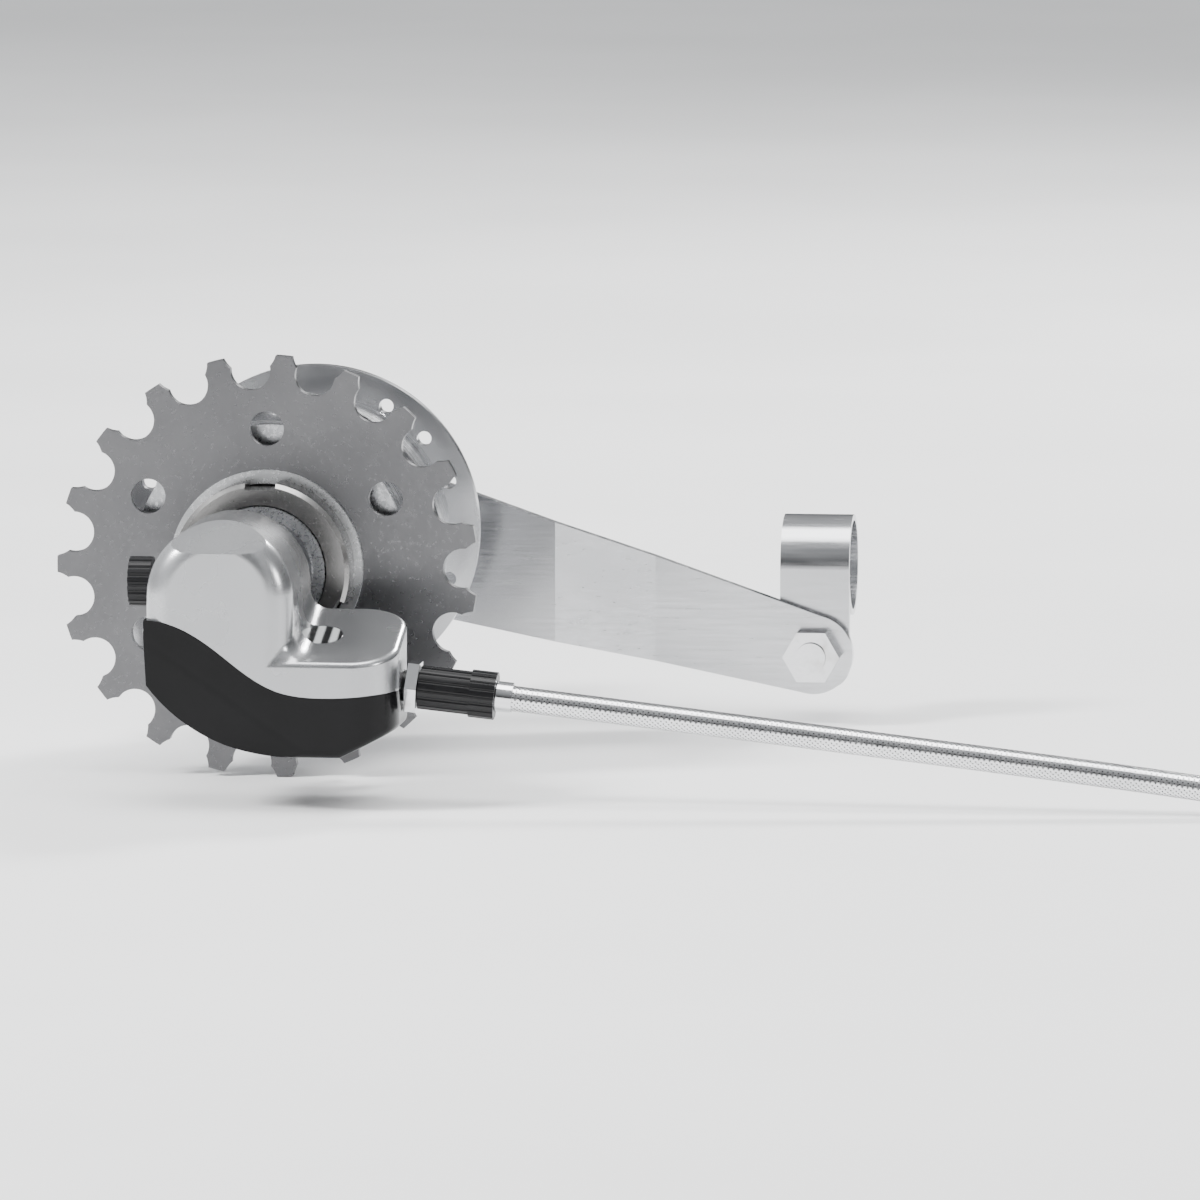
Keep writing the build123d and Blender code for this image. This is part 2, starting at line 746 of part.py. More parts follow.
PORT_PLANE = Plane(origin=PORT, x_dir=(0, 1, 0), z_dir=ADJUSTER_DIR)
KNOB_Y = -83.6
KNOB_Z = 1.2


def case_hollows():
    """The room for the axle nut, the axle's end, the lever and the wire, in both halves."""
    with BuildPart() as hollow:
        with BuildSketch(side_plane(-70)):
            Circle(NUT_ROOM_R)
        extrude(amount=10.3)
        with BuildSketch(side_plane(-80)):
            Circle(AXLE_R + 0.1)
        extrude(amount=8)
        with Locations((3.65, -92.1, 0.15)):
            Box(13.3, 9.8, 6.7)
        with Locations((6.5, -92.1, -9)):
            Box(8.6, 9.8, 23.2)
        with Locations((14.0, -83.5, -17)):
            Box(31, 11, 12.2)
        with BuildSketch(PORT_PLANE.offset(-6)):
            Circle(3.06)
        extrude(amount=9)
        with BuildSketch(Plane.XY.offset(-24)):
            with Locations(PIVOT):
                Circle(1.5)
        extrude(amount=30)
    return hollow.part


with BuildPart() as shift_cover:
    with BuildSketch(side_plane(CASE_BACK)):
        with BuildLine():
            parting_line()
            Line((-16.2, -4.6), (-16.2, TOWER_Z))
            ThreePointArc((-16.2, TOWER_Z), (TOWER_X, TOWER_Z + TOWER_R), (TOWER_SIDE, TOWER_Z))
            Line((TOWER_SIDE, TOWER_Z), (TOWER_SIDE, DECK_BACK_Z))
            Line((TOWER_SIDE, DECK_BACK_Z), (CASE_END_X, DECK_BACK_Z))
            Line((CASE_END_X, DECK_BACK_Z), (CASE_END_X, -18.3))
        make_face()
    extrude(amount=CASE_BACK - CASE_FRONT)
    fillet(shift_cover.edges().filter_by(Axis.Z).group_by(Axis.X)[-1], 9)
    # the deck's slope, beside the tower
    deck = [
        (CASE_BACK, DECK_BACK_Z),
        (CASE_FRONT - 1, DECK_FRONT_Z - tan(DECK_SLOPE)),
        (CASE_FRONT - 1, 2),
        (CASE_BACK, 2),
    ]
    extrude(outline(deck, Plane.YZ.offset(TOWER_SIDE)), amount=30, mode=Mode.SUBTRACT)
    deck_face = shift_cover.faces().sort_by(lambda f: f.normal_at().Z * (f.center().X > 16)).last
    rim = deck_face.edges().filter_by(
        lambda e: e.center().X > TOWER_SIDE + 0.3 and e.center().Y < CASE_BACK - 0.2
    )
    fillet(rim, 1.2)
    # the tower's front edge, rounded all the way up and over, and its roof
    front = shift_cover.edges().filter_by(lambda e: e.center().Y < CASE_FRONT + 0.01)
    tower_edge = front.filter_by(
        lambda e: e.center().X < TOWER_SIDE + 0.1
        and e.center().Z > -10
        and e.geom_type != GeomType.BSPLINE
    )
    fillet(tower_edge, 5)
    roof = [(CASE_FRONT - 1, CROWN_Z - 0.5), (-88, TOWER_Z + TOWER_R + 0.6), (CASE_FRONT - 1, 20)]
    extrude(outline(roof, Plane.YZ.offset(-30)), amount=60, mode=Mode.SUBTRACT)
    # the soft foot where the tower runs out into the deck
    foot = shift_cover.edges().filter_by(
        lambda e: abs(e.center().X - TOWER_SIDE) < 0.05 and e.length > 15 and e.center().Z < -5
    )
    fillet(foot, 4)
    add(case_hollows(), mode=Mode.SUBTRACT)
    # the fixing bolt's hole and the seat of the window
    with BuildSketch(Plane.YZ.offset(-20)):
        with Locations((KNOB_Y, KNOB_Z)):
            Circle(2.1)
    extrude(amount=18, mode=Mode.SUBTRACT)
    with BuildSketch(DECK.offset(-1)):
        Circle(4.3)
    extrude(amount=4, mode=Mode.SUBTRACT)
    with BuildSketch(DECK.offset(-6)):
        Circle(3.3)
    extrude(amount=6, mode=Mode.SUBTRACT)
keep(shift_cover, "shift_cover")

with BuildPart() as shift_housing:
    with BuildSketch(side_plane(CASE_BACK)):
        with BuildLine():
            parting_line()
            Line((-16.2, -4.6), (-16.2, -17.5))
            Spline((-16.2, -17.5), (-10.5, -23.6), (-1.7, -28.6), (9, -30.7), (12.2, -30.8))
            Line((12.2, -30.8), (21.4, -30.8))
            Line((21.4, -30.8), (CASE_END_X, -25.6))
            Line((CASE_END_X, -25.6), (CASE_END_X, -18.3))
        make_face()
    extrude(amount=CASE_BACK - CASE_FRONT)
    fillet(shift_housing.edges().filter_by(Axis.Z).group_by(Axis.X)[-1], 9)
    below = shift_housing.edges().filter_by(
        lambda e: e.center().Y < CASE_FRONT + 0.01 and e.center().Z < -25
    )
    fillet(below, 1.6)
    # a facet below a soft ridge that runs from upper left to lower right
    ridge = Plane(origin=(-8.4, CASE_FRONT, -13.8), x_dir=(-0.572, 0, -0.82), z_dir=(0.82, 0, -0.572))
    fall = atan2(13, 30)
    reach = 1.2  # of the ridge's round, to each side of its line
    crest_r = reach / tan(fall / 2)
    crest_top = (crest_r * sin(fall / 2) - reach, crest_r * (1 - cos(fall / 2)))
    crest_end = (reach * cos(fall), reach * sin(fall))
    with BuildSketch(ridge):
        with BuildLine():
            ThreePointArc((-reach, 0), crest_top, crest_end)
            Polyline(crest_end, (30, 13), (30, -1), (-reach, -1), (-reach, 0))
        make_face()
    extrude(amount=60, both=True, mode=Mode.SUBTRACT)
    add(case_hollows(), mode=Mode.SUBTRACT)
keep(shift_housing, "shift_housing")

with BuildPart() as lever_pin:
    with BuildSketch(Plane.XY.offset(-24)):
        with Locations(PIVOT):
            Circle(1.5)
    extrude(amount=30)
keep(lever_pin, "lever_pin")

with BuildPart() as window_lens:
    with BuildSketch(DECK.offset(-1)):
        Circle(4.3)
    extrude(amount=1.1)
keep(window_lens, "window_lens")

# ---------------------------------------------------------------- lever, wire and adjuster
WIRE_R = 0.8
WIRE_START = PIVOT[0] - PULL_ARM * sin(radians(LEVER_SWING))
WIRE_Z = PORT[2] + (PORT[0] - WIRE_START) * tan(ADJUSTER_TILT)
# at rest the push arm points back and out, and the pull arm back and in
push_side = Plane(
    origin=(PIVOT[0], PIVOT[1], 0),
    x_dir=(-cos(radians(LEVER_SWING)), -sin(radians(LEVER_SWING)), 0),
    z_dir=(0, 0, 1),
)
pull_side = Plane(
    origin=(PIVOT[0], PIVOT[1], 0),
    x_dir=(-sin(radians(LEVER_SWING)), cos(radians(LEVER_SWING)), 0),
    z_dir=(0, 0, 1),
)
with BuildPart() as shift_lever:
    with BuildSketch(Plane.XY.offset(-19.8)):
        with Locations(PIVOT):
            Circle(3)
    extrude(amount=22.3)
    with BuildSketch(push_side.offset(-2.4)):
        with Locations((PUSH_ARM / 2, 0)):
            SlotCenterToCenter(PUSH_ARM, 3)
    extrude(amount=4.8)
    for low in (-19.8, -12.9):
        with BuildSketch(pull_side.offset(low)):
            with Locations((5.4, 0)):
                Rectangle(10.8, 6)
            with Locations((8.0, 0)):
                SlotCenterToCenter(0.9, 3.6, mode=Mode.SUBTRACT)
        extrude(amount=1.5)
    with BuildSketch(Plane.XY.offset(-25)):
        with Locations(PIVOT):
            Circle(1.56)
    extrude(amount=35, mode=Mode.SUBTRACT)
keep(shift_lever, "shift_lever")

with BuildPart() as inner_wire:
    with BuildSketch(Plane.XY.offset(-19.2)):
        with Locations((WIRE_START, CABLE_Y)):
            Circle(1.5)
    extrude(amount=7.6)
    with BuildSketch(Plane.XY.offset(-17.4)):
        with Locations((WIRE_START, CABLE_Y)):
            Circle(2.4)
    extrude(amount=4)
    with BuildSketch(Plane(origin=(WIRE_START, CABLE_Y, WIRE_Z), x_dir=(0, 1, 0), z_dir=ADJUSTER_DIR)):
        Circle(WIRE_R)
    extrude(amount=36)
keep(inner_wire, "inner_wire")

with BuildPart() as indicator:
    with Locations((15.0, CABLE_Y - 1.2, -13.4)):
        Box(11, 6.5, 0.9)
    with Locations((15.0, CABLE_Y, -15.6)):
        Box(3, 3, 4.4)
    with BuildSketch(Plane(origin=(WIRE_START, CABLE_Y, WIRE_Z), x_dir=(0, 1, 0), z_dir=ADJUSTER_DIR)):
        Circle(WIRE_R)
    extrude(amount=36, mode=Mode.SUBTRACT)
keep(indicator, "indicator")

with BuildPart() as adjuster_nut:
    with BuildSketch(PORT_PLANE.offset(0.7)):
        RegularPolygon(4.7, 6, major_radius=False)
        Circle(3.06, mode=Mode.SUBTRACT)
    extrude(amount=2.2)
keep(adjuster_nut, "adjuster_nut")

with BuildPart() as barrel_adjuster:
    with BuildSketch(PORT_PLANE.offset(-2.4)):
        Circle(3.0)
    extrude(amount=5.6)
    with BuildSketch(PORT_PLANE.offset(3.1)):
        Circle(4.2)
        with PolarLocations(4.35, 16):
            Circle(0.45, mode=Mode.SUBTRACT)
    extrude(amount=9.9)
    with BuildSketch(PORT_PLANE.offset(13)):
        Circle(4.6)
        with PolarLocations(4.75, 20):
            Circle(0.4, mode=Mode.SUBTRACT)
    extrude(amount=BARREL_END - 13)
    with BuildSketch(PORT_PLANE.offset(-4)):
        Circle(1.2)
    extrude(amount=30, mode=Mode.SUBTRACT)
    with BuildSketch(PORT_PLANE.offset(BARREL_END - 5)):
        Circle(CABLE_R + 0.08)
    extrude(amount=10, mode=Mode.SUBTRACT)
keep(barrel_adjuster, "barrel_adjuster")

with BuildPart() as fixing_knob:
    with BuildSketch(Plane.YZ.offset(-20.9)):
        with Locations((KNOB_Y, KNOB_Z)):
            Circle(4.8)
        with Locations(Pos(KNOB_Y, KNOB_Z)):
            with PolarLocations(5.0, 18):
                Circle(0.55, mode=Mode.SUBTRACT)
    extrude(amount=4.4)
    with BuildSketch(Plane.YZ.offset(-16.6)):
        with Locations((KNOB_Y, KNOB_Z)):
            Circle(2.02)
    extrude(amount=11.8)
keep(fixing_knob, "fixing_knob")

# ---------------------------------------------------------------- cable and its put-away coil
start_run = BARREL_END - 4.8
cable_start = tuple(PORT[i] + start_run * ADJUSTER_DIR[i] for i in range(3))
LIE_Z = BENCH_Z + CABLE_R
CABLE_ROUTE = [
    cable_start,
    (165.0, CABLE_Y, -33.2),
    (205.0, CABLE_Y, LIE_Z),
    (COIL_X, CABLE_Y, LIE_Z),
]
OUTER_TURN_R = COIL_R + (COIL_COLUMNS - 1) * CABLE_R
COIL_Y = CABLE_Y + OUTER_TURN_R
TAIL_X = COIL_X + OUTER_TURN_R
TAIL_ROUTE = [
    (TAIL_X, COIL_Y + 6, LIE_Z + 2 * CABLE_R),
    (TAIL_X + 0.8, COIL_Y + 24, LIE_Z + 3.4),
    (TAIL_X + 1.2, COIL_Y + 40, LIE_Z + END_CAP_WALL),
    (TAIL_X + 1.4, COIL_Y + 56, LIE_Z + END_CAP_WALL),
]
FERRULE_DIR = (Vector(*TAIL_ROUTE[-1]) - Vector(*TAIL_ROUTE[-2])).normalized()


def corner_radii(route):
    """Each corner's radius: 0.45 of its shorter run over the tangent of half its turn."""
    radii = []
    for before, here, after in zip(route, route[1:], route[2:]):
        run_in = Vector(*here) - Vector(*before)
        run_out = Vector(*after) - Vector(*here)
        turn = radians(run_in.get_angle(run_out))
        radii.append(0.45 * min(run_in.length, run_out.length) / tan(turn / 2))
    return radii


def cable_tube(route):
    """A round cable along a route of straight runs joined by tangent arcs."""
    radii = corner_radii(route)
    print("cable corner radii", [round(r, 1) for r in radii])
    with BuildPart() as tube:
        with BuildLine() as path:
            FilletPolyline(*route, radius=radii)
        with BuildSketch(Plane(path.line @ 0, z_dir=path.line % 0)):
            Circle(CABLE_R)
        sweep(path=path.line)
    along = sum(edge.length for edge in path.edges())
    print("cable length", round(along, 1), "from volume", round(tube.part.volume / (pi * CABLE_R**2), 1))
    return tube


with BuildPart() as casing_ferrule:
    with BuildSketch(PORT_PLANE.offset(BARREL_END + 0.15)):
        Circle(CABLE_R + 0.45)
        Circle(CABLE_R + 0.12, mode=Mode.SUBTRACT)
    extrude(amount=3.1)
    fillet(casing_ferrule.edges().filter_by(GeomType.CIRCLE).sort_by(Axis.X)[-1], 0.2)
keep(casing_ferrule, "casing_ferrule")

keep(cable_tube(CABLE_ROUTE), "cable_casing")
keep(cable_tube(TAIL_ROUTE), "cable_tail")

with BuildPart() as cable_coil:
    coil_half = COIL_COLUMNS * CABLE_R
    with BuildSketch(Plane.XY.offset(BENCH_Z)):
        with Locations((COIL_X, COIL_Y)):
            Circle(COIL_R + coil_half)
            Circle(COIL_R - coil_half, mode=Mode.SUBTRACT)
    extrude(amount=COIL_LAYERS * 2 * CABLE_R)
keep(cable_coil, "cable_coil")

TAIL_END = Vector(*TAIL_ROUTE[-1])
FERRULE_PLANE = Plane(origin=TAIL_END, z_dir=FERRULE_DIR)
with BuildPart() as cable_ferrule:
    with BuildSketch(FERRULE_PLANE):
        Circle(CABLE_R + END_CAP_WALL)
    extrude(amount=9)
    with BuildSketch(FERRULE_PLANE.offset(9)):
        Circle(1.6)
    extrude(amount=2.5)
keep(cable_ferrule, "cable_ferrule")

with BuildPart() as wire_nipple:
    with BuildSketch(FERRULE_PLANE.offset(11.5)):
        Circle(WIRE_R)
    extrude(amount=12)
    with BuildSketch(FERRULE_PLANE.offset(23)):
        Circle(2.2)
    extrude(amount=5)
keep(wire_nipple, "wire_nipple")
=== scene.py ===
"""Studio view of a three-speed bicycle hub gear, on the frame that its CAD model gives.

Everything is in metres in the row's frame: +X forwards, +Y to the brake side, +Z up.
"""

import json
from math import cos, pi, radians, sin, tau

import bpy
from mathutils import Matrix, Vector


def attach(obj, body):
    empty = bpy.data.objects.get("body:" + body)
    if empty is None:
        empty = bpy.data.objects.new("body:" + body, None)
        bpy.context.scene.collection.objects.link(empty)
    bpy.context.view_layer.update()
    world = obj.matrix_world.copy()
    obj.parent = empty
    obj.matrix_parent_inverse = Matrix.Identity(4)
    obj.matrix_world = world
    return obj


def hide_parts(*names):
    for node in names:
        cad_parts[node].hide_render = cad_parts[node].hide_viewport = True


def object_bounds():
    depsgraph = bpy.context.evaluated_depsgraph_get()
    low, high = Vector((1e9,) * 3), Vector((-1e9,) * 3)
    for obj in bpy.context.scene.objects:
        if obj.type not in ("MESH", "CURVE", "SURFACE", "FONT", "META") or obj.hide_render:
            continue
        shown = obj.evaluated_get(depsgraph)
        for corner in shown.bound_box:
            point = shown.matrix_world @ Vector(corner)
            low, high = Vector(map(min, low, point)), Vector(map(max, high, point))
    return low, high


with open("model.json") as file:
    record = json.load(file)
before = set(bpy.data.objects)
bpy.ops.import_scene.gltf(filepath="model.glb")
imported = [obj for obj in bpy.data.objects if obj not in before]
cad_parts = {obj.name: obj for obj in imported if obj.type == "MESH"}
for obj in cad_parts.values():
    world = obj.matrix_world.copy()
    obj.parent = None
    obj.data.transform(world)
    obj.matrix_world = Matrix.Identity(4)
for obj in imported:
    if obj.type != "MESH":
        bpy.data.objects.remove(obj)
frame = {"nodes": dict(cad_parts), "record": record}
cad_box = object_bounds()
NODES = frame["nodes"]
FLOOR_Z = min(cad_box[0][2], cad_box[1][2])

# ------------------------------------------------------------ camera
AZIMUTH = radians(6.5)
ELEVATION = radians(6.4)
DISTANCE = 2.4
FIELD = 0.232  # width of the view at the target
SENSOR_MM = 36.0
TARGET = Vector((0.0672, -0.06, -0.004))


def add_camera():
    """The photograph's viewing angle, through a long lens."""
    away = Vector(
        (
            sin(AZIMUTH) * cos(ELEVATION),
            -cos(AZIMUTH) * cos(ELEVATION),
            sin(ELEVATION),
        )
    )
    lens = bpy.data.cameras.new("camera")
    lens.sensor_width = SENSOR_MM
    lens.lens = SENSOR_MM * DISTANCE / FIELD
    lens.clip_end = 50
    camera = bpy.data.objects.new("camera", lens)
    camera.location = TARGET + DISTANCE * away
    camera.rotation_euler = (-away).to_track_quat("-Z", "Y").to_euler()
    bpy.context.collection.objects.link(camera)
    bpy.context.scene.camera = camera


add_camera()

# ------------------------------------------------------------ cable route
CABLE_R = 0.0025
BRAID_THICK = 0.00016
PORT = Vector((0.032, -0.0833, -0.0183))
ADJUSTER_TILT = radians(6)
ADJUSTER_DIR = Vector((cos(ADJUSTER_TILT), 0, -sin(ADJUSTER_TILT)))
BARREL_END = 0.0179
SOCKET_DEPTH = 0.0048  # how far the casing goes into the barrel
LIE_Z = -0.0389
COIL_X = 0.245
OUTER_TURN_R = 0.035
COIL_Y = PORT.y + OUTER_TURN_R
TURN_STEP = 2 * CABLE_R
COLUMNS = 4
POINTS_PER_TURN = 16
TURNS = 8.25
LINE_OVER_POINTS = 0.986  # the smooth line's radius over that of its control points
END_CAP_WALL = 0.00035

RUN_POINTS = [
    PORT + (BARREL_END - SOCKET_DEPTH) * ADJUSTER_DIR,
    Vector((0.165, PORT.y, -0.0332)),
    Vector((0.205, PORT.y, LIE_Z)),
    Vector((COIL_X, PORT.y, LIE_Z)),
]
TAIL_POINTS = [
    Vector((0.2804, COIL_Y + 0.006, LIE_Z + TURN_STEP)),
    Vector((0.2808, COIL_Y + 0.024, LIE_Z + 0.0034)),
    Vector((0.2812, COIL_Y + 0.040, LIE_Z + END_CAP_WALL)),
    Vector((0.2814, COIL_Y + 0.056, LIE_Z + END_CAP_WALL)),
]


def coil_point(turn):
    """A point of the coil: each turn keeps its radius for three quarters, then steps sideways."""
    whole = int(turn)
    step = max(0.0, (turn - whole - 0.75) * 4)
    if whole < COLUMNS - 1:
        column, layer = whole + step, 0.0
    elif whole == COLUMNS - 1:
        column, layer = COLUMNS - 1, step
    else:
        column, layer = max(2 * COLUMNS - 1 - whole - step, 0.0), 1.0
    radius = (OUTER_TURN_R - TURN_STEP * column) / LINE_OVER_POINTS
    angle = tau * turn - pi / 2
    return Vector(
        (
            COIL_X + radius * cos(angle),
            COIL_Y + radius * sin(angle),
            LIE_Z + TURN_STEP * layer,
        )
    )


def cable_points():
    """The whole cable: out of the adjuster, along to the coil, round it and out to its end."""
    turns = [coil_point(i / POINTS_PER_TURN) for i in range(1, int(TURNS * POINTS_PER_TURN))]
    return RUN_POINTS + turns + TAIL_POINTS


# ------------------------------------------------------------ material building
def start_material(name):
    """An empty material with its shader, and the object's own coordinates."""
    material = bpy.data.materials.new(name)
    material.use_nodes = True
    tree = material.node_tree
    tree.nodes.clear()
    output = tree.nodes.new("ShaderNodeOutputMaterial")
    shader = tree.nodes.new("ShaderNodeBsdfPrincipled")
    tree.links.new(shader.outputs["BSDF"], output.inputs["Surface"])
    coords = tree.nodes.new("ShaderNodeTexCoord")
    return material, tree, shader, coords.outputs["Object"]


def noise(tree, coords, scale, detail=4.0, stretch=(1, 1, 1)):
    """Noise of so many lumps to the metre, stretched along an axis where that is below 1."""
    mapping = tree.nodes.new("ShaderNodeMapping")
    mapping.inputs["Scale"].default_value = stretch
    tree.links.new(coords, mapping.inputs["Vector"])
    texture = tree.nodes.new("ShaderNodeTexNoise")
    texture.inputs["Scale"].default_value = scale
    texture.inputs["Detail"].default_value = detail
    tree.links.new(mapping.outputs["Vector"], texture.inputs["Vector"])
    return texture.outputs["Fac"]


def bands(tree, coords, direction, period, kind="BANDS", distortion=0.0):
    """Even ridges along one axis, or rings round it, period metres apart."""
    texture = tree.nodes.new("ShaderNodeTexWave")
    texture.wave_type = kind
    if kind == "BANDS":
        texture.bands_direction = direction
    else:
        texture.rings_direction = direction
    texture.inputs["Scale"].default_value = tau / (20 * period)
    texture.inputs["Distortion"].default_value = distortion
    texture.inputs["Detail Scale"].default_value = 1 / period
    tree.links.new(coords, texture.inputs["Vector"])
    return texture.outputs["Fac"]


def spread(tree, value, low, high, start=0.3, end=0.7):
    """A value stretched from start..end to low..high."""
    node = tree.nodes.new("ShaderNodeMapRange")
    node.inputs["From Min"].default_value = start
    node.inputs["From Max"].default_value = end
    node.inputs["To Min"].default_value = low
    node.inputs["To Max"].default_value = high
    tree.links.new(value, node.inputs["Value"])
    return node.outputs["Result"]


def two_colours(tree, value, dark, light, start=0.35, end=0.65):
    """A colour between dark and light, by a value."""
    ramp = tree.nodes.new("ShaderNodeValToRGB")
    ramp.color_ramp.elements[0].position = start
    ramp.color_ramp.elements[0].color = (*dark, 1)
    ramp.color_ramp.elements[1].position = end
    ramp.color_ramp.elements[1].color = (*light, 1)
    tree.links.new(value, ramp.inputs["Fac"])
    return ramp.outputs["Color"]


def blend_colours(tree, value, base, over, start, end):
    """Another colour laid over a colour where the value is high."""
    mix = tree.nodes.new("ShaderNodeMix")
    mix.data_type = "RGBA"
    mix.inputs[7].default_value = (*over, 1)
    tree.links.new(spread(tree, value, 0, 1, start, end), mix.inputs[0])
    tree.links.new(base, mix.inputs[6])
    return mix.outputs[2]


def bump(tree, shader, heights):
    """Bumps laid over each other: (height, depth in metres) pairs."""
    normal = None
    for height, depth in heights:
        node = tree.nodes.new("ShaderNodeBump")
        node.inputs["Strength"].default_value = 1.0
        node.inputs["Distance"].default_value = depth
        tree.links.new(height, node.inputs["Height"])
        if normal:
            tree.links.new(normal, node.inputs["Normal"])
        normal = node.outputs["Normal"]
    tree.links.new(normal, shader.inputs["Normal"])


def metal(name, dark, light, rough, stretch=(1, 1, 1), ridges=(), stain=None, grain=1500):
    """Bare or plated metal: slight tone, uneven polish, fine grain, turned ridges and stains."""
    material, tree, shader, coords = start_material(name)
    shader.inputs["Metallic"].default_value = 1.0
    patches = noise(tree, coords, 55, 3)
    fine = noise(tree, coords, grain, 3, stretch)
    colour = two_colours(tree, patches, dark, light, 0.25, 0.75)
    if stain:
        specks = noise(tree, coords, 210, 2.5)
        colour = blend_colours(tree, specks, colour, stain, 0.58, 0.8)
    tree.links.new(colour, shader.inputs["Base Color"])
    tree.links.new(spread(tree, fine, *rough), shader.inputs["Roughness"])
    heights = [(fine, 0.000001)]
    for kind, direction, period, depth in ridges:
        heights.append((bands(tree, coords, direction, period, kind), depth))
    bump(tree, shader, heights)
    return material


def plastic(name, dark, light, rough, coat=0.0, specular=0.5, grain=1800, depth=0.000008):
    """Moulded plastic or paint with a slight texture."""
    material, tree, shader, coords = start_material(name)
    shader.inputs["Coat Weight"].default_value = coat
    shader.inputs["Coat Roughness"].default_value = 0.06
    shader.inputs["Specular IOR Level"].default_value = specular
    patches = noise(tree, coords, 60, 4)
    fine = noise(tree, coords, grain, 2)
    tree.links.new(two_colours(tree, patches, dark, light), shader.inputs["Base Color"])
    tree.links.new(spread(tree, patches, *rough), shader.inputs["Roughness"])
    bump(tree, shader, [(fine, depth)])
    return material


def cover_paint():
    """Satin silver paint: fine metal flake under a soft clear coat."""
    material, tree, shader, coords = start_material("cover_silver_paint")
    shader.inputs["Metallic"].default_value = 0.9
    shader.inputs["Coat Weight"].default_value = 0.25
    shader.inputs["Coat Roughness"].default_value = 0.15
    flakes = noise(tree, coords, 8000, 2)
    patches = noise(tree, coords, 70, 4)
    colour = two_colours(tree, flakes, (0.36, 0.365, 0.375), (0.52, 0.525, 0.535))
    tree.links.new(colour, shader.inputs["Base Color"])
    tree.links.new(spread(tree, patches, 0.24, 0.29), shader.inputs["Roughness"])
    bump(tree, shader, [(flakes, 0.000002), (noise(tree, coords, 700, 2), 0.000004)])
    return material


def window_glass():
    """Clear moulded plastic, with the dark and light setting marks that show through it."""
    material, tree, shader, coords = start_material("window_clear")
    shader.inputs["Alpha"].default_value = 0.88
    shader.inputs["Coat Weight"].default_value = 0.6
    shader.inputs["Coat Roughness"].default_value = 0.03
    marks = bands(tree, coords, "X", 0.0029, distortion=1.6)
    colour = two_colours(tree, marks, (0.006, 0.006, 0.006), (0.82, 0.84, 0.84), 0.5, 0.56)
    tree.links.new(colour, shader.inputs["Base Color"])
    scuffs = noise(tree, coords, 700, 5)
    tree.links.new(spread(tree, scuffs, 0.1, 0.2), shader.inputs["Roughness"])
    bump(tree, shader, [(scuffs, 0.000002)])
    return material


def indicator_print():
    """White plastic with dark setting marks across it."""
    material, tree, shader, coords = start_material("indicator_marked")
    stripes = bands(tree, coords, "X", 0.0036)
    colour = two_colours(tree, stripes, (0.01, 0.01, 0.01), (0.9, 0.9, 0.87), 0.4, 0.46)
    tree.links.new(colour, shader.inputs["Base Color"])
    fine = noise(tree, coords, 2000, 3)
    tree.links.new(spread(tree, fine, 0.35, 0.5), shader.inputs["Roughness"])
    bump(tree, shader, [(fine, 0.000008)])
    return material


STEEL_DARK = (0.33, 0.335, 0.345)
STEEL_LIGHT = (0.42, 0.425, 0.435)
ZINC_DARK = (0.5, 0.505, 0.515)
ZINC_LIGHT = (0.6, 0.605, 0.615)
BRIGHT_DARK = (0.72, 0.725, 0.74)
BRIGHT_LIGHT = (0.82, 0.82, 0.835)
OIL = (0.2, 0.19, 0.175)

LOOKS = {
    "axle_steel": metal(
        "threaded_zinc",
        ZINC_DARK,
        ZINC_LIGHT,
        (0.22, 0.38),
        ridges=[("BANDS", "Y", 0.001, 0.00025)],
    ),
    "nut_steel": metal(
        "bright_plate", BRIGHT_DARK, BRIGHT_LIGHT, (0.1, 0.2), stain=(0.5, 0.48, 0.46)
    ),
    "shell_alloy": metal(
        "turned_alloy",
        (0.6, 0.605, 0.62),
        (0.68, 0.685, 0.7),
        (0.2, 0.32),
        stretch=(0.04, 1, 0.04),
        ridges=[("BANDS", "Y", 0.0005, 0.000008)],
    ),
    "gear_steel": metal(
        "oiled_gear_steel", (0.27, 0.265, 0.26), (0.32, 0.315, 0.31), (0.22, 0.28)
    ),
    "ball_steel": metal("polished_ball_steel", BRIGHT_DARK, BRIGHT_LIGHT, (0.04, 0.1)),
    "race_steel": metal(
        "ground_steel",
        STEEL_DARK,
        STEEL_LIGHT,
        (0.2, 0.28),
        ridges=[("BANDS", "Y", 0.0004, 0.000001)],
    ),
    "sprocket_steel": metal(
        "stamped_sprocket",
        (0.15, 0.15, 0.155),
        (0.19, 0.19, 0.195),
        (0.26, 0.38),
        ridges=[("RINGS", "Y", 0.0007, 0.000002)],
    ),
    "shoe_bronze": metal(
        "worn_bronze", (0.42, 0.29, 0.15), (0.58, 0.42, 0.24), (0.28, 0.46), stain=OIL
    ),
    "arm_steel": metal(
        "plated_arm",
        (0.55, 0.555, 0.57),
        (0.63, 0.635, 0.65),
        (0.18, 0.28),
        stretch=(0.06, 1, 1),
    ),
    "seal_steel": metal(
        "pressed_cap",
        (0.46, 0.465, 0.48),
        (0.58, 0.585, 0.6),
        (0.22, 0.36),
        ridges=[("RINGS", "Y", 0.0006, 0.000002)],
    ),
    "cover_silver": cover_paint(),
    "housing_black": plastic(
        "gloss_black", (0.002, 0.002, 0.0022), (0.004, 0.004, 0.0045), (0.1, 0.16), 0.0, 0.16
    ),
    "lens_clear": window_glass(),
    "indicator_white": indicator_print(),
    "knob_black": plastic(
        "satin_black", (0.004, 0.004, 0.0045), (0.009, 0.009, 0.01), (0.24, 0.36), 0.0, 0.3
    ),
    "cable_braid": plastic(
        "dark_jacket", (0.006, 0.006, 0.0065), (0.016, 0.016, 0.017), (0.2, 0.32), 0.5
    ),
    "ferrule_metal": metal("bright_ferrule", BRIGHT_DARK, BRIGHT_LIGHT, (0.08, 0.18)),
}
